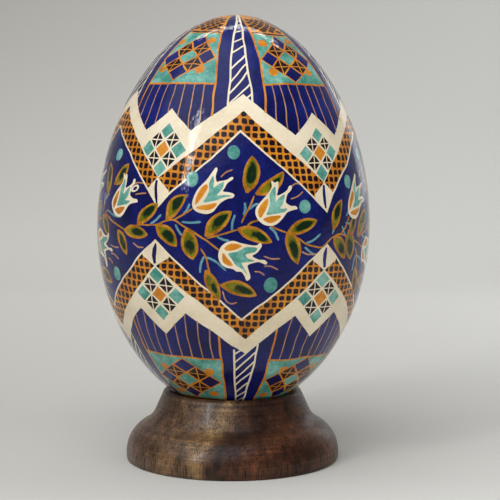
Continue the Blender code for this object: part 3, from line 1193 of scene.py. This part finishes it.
bpy.ops.object.select_all(action="DESELECT")
bpy.ops.mesh.primitive_circle_add(
    vertices=TURNED_STEPS, radius=UNDERSIDE_RADIUS, fill_type="TRIFAN", location=(0.0, 0.0, 0.0)
)
turned_stand = bpy.context.object
turned_stand.name = "turned_stand"
bpy.ops.object.mode_set(mode="EDIT")
bpy.ops.mesh.select_mode(type="VERT")
blank = bmesh.from_edit_mesh(turned_stand.data)
for vert in blank.verts:
    vert.select = vert.co.length > UNDERSIDE_RADIUS / 2.0
blank.select_flush_mode()
bmesh.update_edit_mesh(turned_stand.data)
radius, height = UNDERSIDE_RADIUS, 0.0
for ring in turned_profile():
    # The last ring shrinks to the middle of the cup and is merged there
    shrink = max(ring.x, 1e-5) / radius
    move = (0.0, 0.0, ring.y - height)
    bpy.ops.mesh.extrude_region_move(TRANSFORM_OT_translate={"value": move})
    bpy.ops.transform.resize(value=(shrink, shrink, 1.0), center_override=(0.0, 0.0, ring.y))
    radius, height = max(ring.x, 1e-5), ring.y
bpy.ops.mesh.merge(type="CENTER")
bpy.ops.mesh.select_all(action="SELECT")
bpy.ops.mesh.normals_make_consistent(inside=False)
bpy.ops.object.mode_set(mode="OBJECT")
bpy.ops.object.shade_smooth_by_angle(angle=math.radians(30.0))

# Walnut: growth rings round a heart that lay off to one side, fibres and open pores along it
walnut = bpy.data.materials.new("oiled_walnut")
walnut.use_nodes = True
tree = walnut.node_tree
place = add_node(tree, "TexCoord", {}).outputs["Object"]


def stretched(scale, along_grain, detail, offset=(0.0, 0.0, 0.0)):
    """A noise that is drawn out along the upright grain."""
    inputs = {"Vector": place, "Location": offset, "Scale": (1.0, 1.0, along_grain)}
    mapping = add_node(tree, "Mapping", inputs)
    return noise(tree, mapping.outputs["Vector"], scale, detail)


# Growth layers stand upright and cross the front at an angle, one pale and one dark in front.
# Across the stand they also run lighter on the left and darker on the right, a painted shade of the
# side turned from the light.
turned = (0.0, 0.0, math.radians(45.0))
layers = add_node(tree, "Mapping", {"Vector": place, "Rotation": turned})
split = add_node(tree, "SeparateXYZ", {"Vector": layers.outputs["Vector"]})
wander = stretched(110.0, 0.3, 3.0, offset=(0.011, 0.0, 0.0))
across = number(tree, "MULTIPLY_ADD", wander, 0.009, split.outputs["X"])
across = number(tree, "ADD", across, -0.0045)
streaks = stretched(420.0, 0.12, 2.0, offset=(0.0, 0.0, 0.03))
fibres = stretched(3600.0, 0.03, 2.0)
pores = stretched(3600.0, 0.07, 1.0, offset=(0.0, 0.02, 0.0))
pores = step_between(tree, pores, 0.54, 0.64)
mottle = stretched(650.0, 0.6, 3.0, offset=(0.02, 0.0, 0.0))
# Each layer's distance from the axis, in mm, and its colour. The colours also hold painted shade:
# darker towards the right, lighter towards the left
GROWTH_AND_SHADE = [
    (-26.0, (68, 50, 37)), (-14.0, (86, 63, 45)), (-6.0, (68, 49, 35)), (2.0, (88, 65, 43)),
    (7.0, (82, 60, 40)), (10.2, (114, 88, 56)), (12.2, (70, 47, 29)), (14.6, (38, 21, 13)),
    (17.0, (56, 32, 18)), (20.0, (70, 39, 20)), (24.0, (44, 23, 12)), (29.0, (30, 19, 13)),
]
LAYER_SPAN = 66.0
grain_and_shade = number(tree, "MULTIPLY_ADD", across, 1000.0 / LAYER_SPAN, 0.5)
grain_and_shade = ramp(tree, grain_and_shade, [(at / LAYER_SPAN + 0.5, srgb(shade)) for at, shade in GROWTH_AND_SHADE])
# Faint rings left by the turning tool
tooling = add_node(tree, "Mapping", {"Vector": place, "Scale": (0.02, 0.02, 1.0)})
tool_marks = noise(tree, tooling.outputs["Vector"], 2200.0, 3.0)
vary = number(tree, "MULTIPLY_ADD", streaks, 1.5, 0.25)
for marks, strength, least in (
    (tool_marks, 1.9, 0.05), (mottle, 2.2, -0.1), (fibres, 0.8, 0.6), (pores, -0.72, 1.1)
):
    marks = number(tree, "MULTIPLY_ADD", marks, strength, least)
    vary = number(tree, "MULTIPLY", vary, marks)
vary = add_node(tree, "CombineColor", {"Red": vary, "Green": vary, "Blue": vary})
sheen = number(tree, "MULTIPLY_ADD", pores, 0.2, 0.4)
height = number(tree, "MULTIPLY_ADD", pores, -0.8, fibres)
height = number(tree, "MULTIPLY_ADD", tool_marks, 1.6, height)
bump = add_node(tree, "Bump", {"Strength": 0.25, "Distance": 0.0001, "Height": height})
wire(
    tree.nodes["Principled BSDF"],
    {
        "Base Color": blend(tree, 1.0, grain_and_shade, vary.outputs["Color"], "MULTIPLY"),
        "Roughness": number(tree, "MULTIPLY_ADD", fibres, 0.12, sheen),
        "Normal": bump.outputs["Normal"],
        "Specular IOR Level": 0.2,
        "Coat Weight": 0.3,
        "Coat Roughness": 0.2,
    },
)
turned_stand.data.materials.append(walnut)
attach(turned_stand, "root")
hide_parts("stand")


# The studio
# A sheet of pale paper that runs from under the stand up behind it. Broad soft boxes hang over
# the left and the right, and one stands low in front. Three more leave their images in the
# varnish: a narrow window on the left, a dim one on the right, and a strip over the back.

bpy.ops.object.select_all(action="DESELECT")
bpy.ops.mesh.primitive_plane_add(size=1.0, location=(0.0, 0.0, 0.0))
sweep = bpy.context.object
sweep.name = "paper_sweep"
bpy.ops.object.mode_set(mode="EDIT")
sheet = bmesh.from_edit_mesh(sweep.data)
SHEET_WIDTH = 4.0
SHEET_FRONT, SHEET_BACK = -1.2, 0.3
SHEET_RISE = 0.9
# The bend between floor and back: steps, and the length of each
BEND_STEPS, BEND_STEP = 16, 0.03
for corner in sheet.verts:
    corner.co.x *= SHEET_WIDTH
    corner.co.y = SHEET_FRONT if corner.co.y < 0.0 else SHEET_BACK
for corner in sheet.verts:
    corner.select = corner.co.y > 0.0
sheet.select_flush_mode()
bmesh.update_edit_mesh(sweep.data)
for step in range(BEND_STEPS):
    angle = math.radians(90.0) * (step + 0.5) / BEND_STEPS
    move = (0.0, BEND_STEP * math.cos(angle), BEND_STEP * math.sin(angle))
    bpy.ops.mesh.extrude_region_move(TRANSFORM_OT_translate={"value": move})
bpy.ops.mesh.extrude_region_move(TRANSFORM_OT_translate={"value": (0.0, 0.0, SHEET_RISE)})
bpy.ops.object.mode_set(mode="OBJECT")
bpy.ops.object.shade_smooth()
paper = bpy.data.materials.new("pale_paper")
paper.use_nodes = True
tree = paper.node_tree
place = add_node(tree, "TexCoord", {}).outputs["Object"]
split = add_node(tree, "SeparateXYZ", {"Vector": place})
# The sheet greys up the back and far in front, as the light falls off on it, and the dip in the
# rows just round and behind the stand is a painted shadow of the egg and the stand.
# Each row below is a distance along the sheet and up it, and how light it is there on the left and
# on the right.
SHEET_START = -0.3
reach = number(tree, "ADD", split.outputs["Y"], split.outputs["Z"])
reach = number(tree, "SUBTRACT", reach, SHEET_START)
PAPER_LIGHT_AND_SHADOW = [
    (-0.3, 0.1, 0.1), (-0.12, 0.3, 0.3), (-0.05, 0.55, 0.59), (-0.02, 0.505, 0.5),
    (0.04, 0.475, 0.485), (0.27, 0.635, 0.555), (0.4, 0.625, 0.535), (0.56, 0.545, 0.495),
    (0.7, 0.465, 0.485),
]
# Painted light and painted shadow on the paper, one ramp for the left side and one for the right
lit_and_shaded_tones = [
    ramp(tree, reach, [(row[0] - SHEET_START, (row[side],) * 3) for row in PAPER_LIGHT_AND_SHADOW])
    for side in (1, 2)
]
inputs = {"Value": split.outputs["X"], "From Min": -0.15, "From Max": 0.15}
sideways = add_node(tree, "MapRange", inputs).outputs["Result"]
# The light on it is a little warmer on the left
warm_light = blend(tree, sideways, (0.89, 0.845, 0.755, 1.0), (1.12, 1.10, 1.02, 1.0))
lit_paper_tone = blend(tree, 1.0, blend(tree, sideways, *lit_and_shaded_tones), warm_light, "MULTIPLY")
inputs = {"Roughness": 0.9, "Specular IOR Level": 0.2, "Base Color": lit_paper_tone}
wire(tree.nodes["Principled BSDF"], inputs)
sweep.data.materials.append(paper)


def soft_light(name, place, target, size, power, mirrored=True):
    """A rectangular soft box. One that isn't mirrored leaves no image in the varnish."""
    light = bpy.data.lights.new(name, "AREA")
    light.shape = "RECTANGLE"
    light.size, light.size_y = size
    light.energy = power
    lamp = bpy.data.objects.new(name, light)
    lamp.location = place
    lamp.rotation_euler = (Vector(target) - Vector(place)).to_track_quat("-Z", "Y").to_euler()
    lamp.visible_glossy = mirrored
    lamp.visible_camera = False
    bpy.context.scene.collection.objects.link(lamp)


soft_light("key_left", (-0.15, -0.4, 0.6), (0.0, 0.0, 0.05), (0.7, 0.7), 2.7, mirrored=False)
soft_light("key_right", (0.5, -0.1, 0.5), (0.0, 0.0, 0.04), (0.7, 0.7), 0.75, mirrored=False)
soft_light("front_low", (0.4, -0.65, 0.04), (0.0, 0.0, 0.04), (0.6, 0.4), 2.8, mirrored=False)
soft_light("window", (-0.35, -0.402, 0.36), (0.0, 0.0, 0.05), (0.022, 0.34), 0.9)
soft_light("window_right", (0.2, 0.25, 0.12), (0.0, 0.0, 0.05), (0.1, 0.14), 0.04)
soft_light("back_edge", (0.03, 0.28, 0.62), (0.0, 0.0, 0.08), (0.62, 0.016), 0.7)

# The room is dim, and brightens softly towards its pale ceiling on the left
world = bpy.data.worlds.new("studio")
bpy.context.scene.world = world
world.use_nodes = True
tree = world.node_tree
direction = add_node(tree, "TexCoord", {}).outputs["Generated"]
inputs = {0: direction, 1: (-0.35, -0.39, 0.85)}
toward = add_node(tree, "VectorMath", inputs, operation="DOT_PRODUCT").outputs["Value"]
inputs = {"Value": toward, "From Min": 0.7, "From Max": 0.92, "To Min": 0.12, "To Max": 1.5}
glow = add_node(tree, "MapRange", inputs, interpolation_type="SMOOTHSTEP").outputs["Result"]
wire(tree.nodes["Background"], {"Strength": glow, "Color": (0.86, 0.9, 1.0, 1.0)})
bpy.context.scene.view_settings.view_transform = "Standard"

# The camera stands 330 mm in front of the axis, a little higher than the egg's middle, as the
# ellipses of the stand's foot and lip in the photo say
CAMERA_PLACE = (0.0, -0.33, 0.07724)
CAMERA_DIP = math.radians(5.4915)
CAMERA_TURN = math.radians(0.671)
camera = bpy.data.cameras.new("camera")
camera.sensor_width = 36.0
camera.lens = 109.78
viewpoint = bpy.data.objects.new("camera", camera)
viewpoint.location = CAMERA_PLACE
looking = Vector(
    (
        math.sin(CAMERA_TURN) * math.cos(CAMERA_DIP),
        math.cos(CAMERA_TURN) * math.cos(CAMERA_DIP),
        -math.sin(CAMERA_DIP),
    )
)
viewpoint.rotation_euler = looking.to_track_quat("-Z", "Y").to_euler()
bpy.context.scene.collection.objects.link(viewpoint)
bpy.context.scene.camera = viewpoint
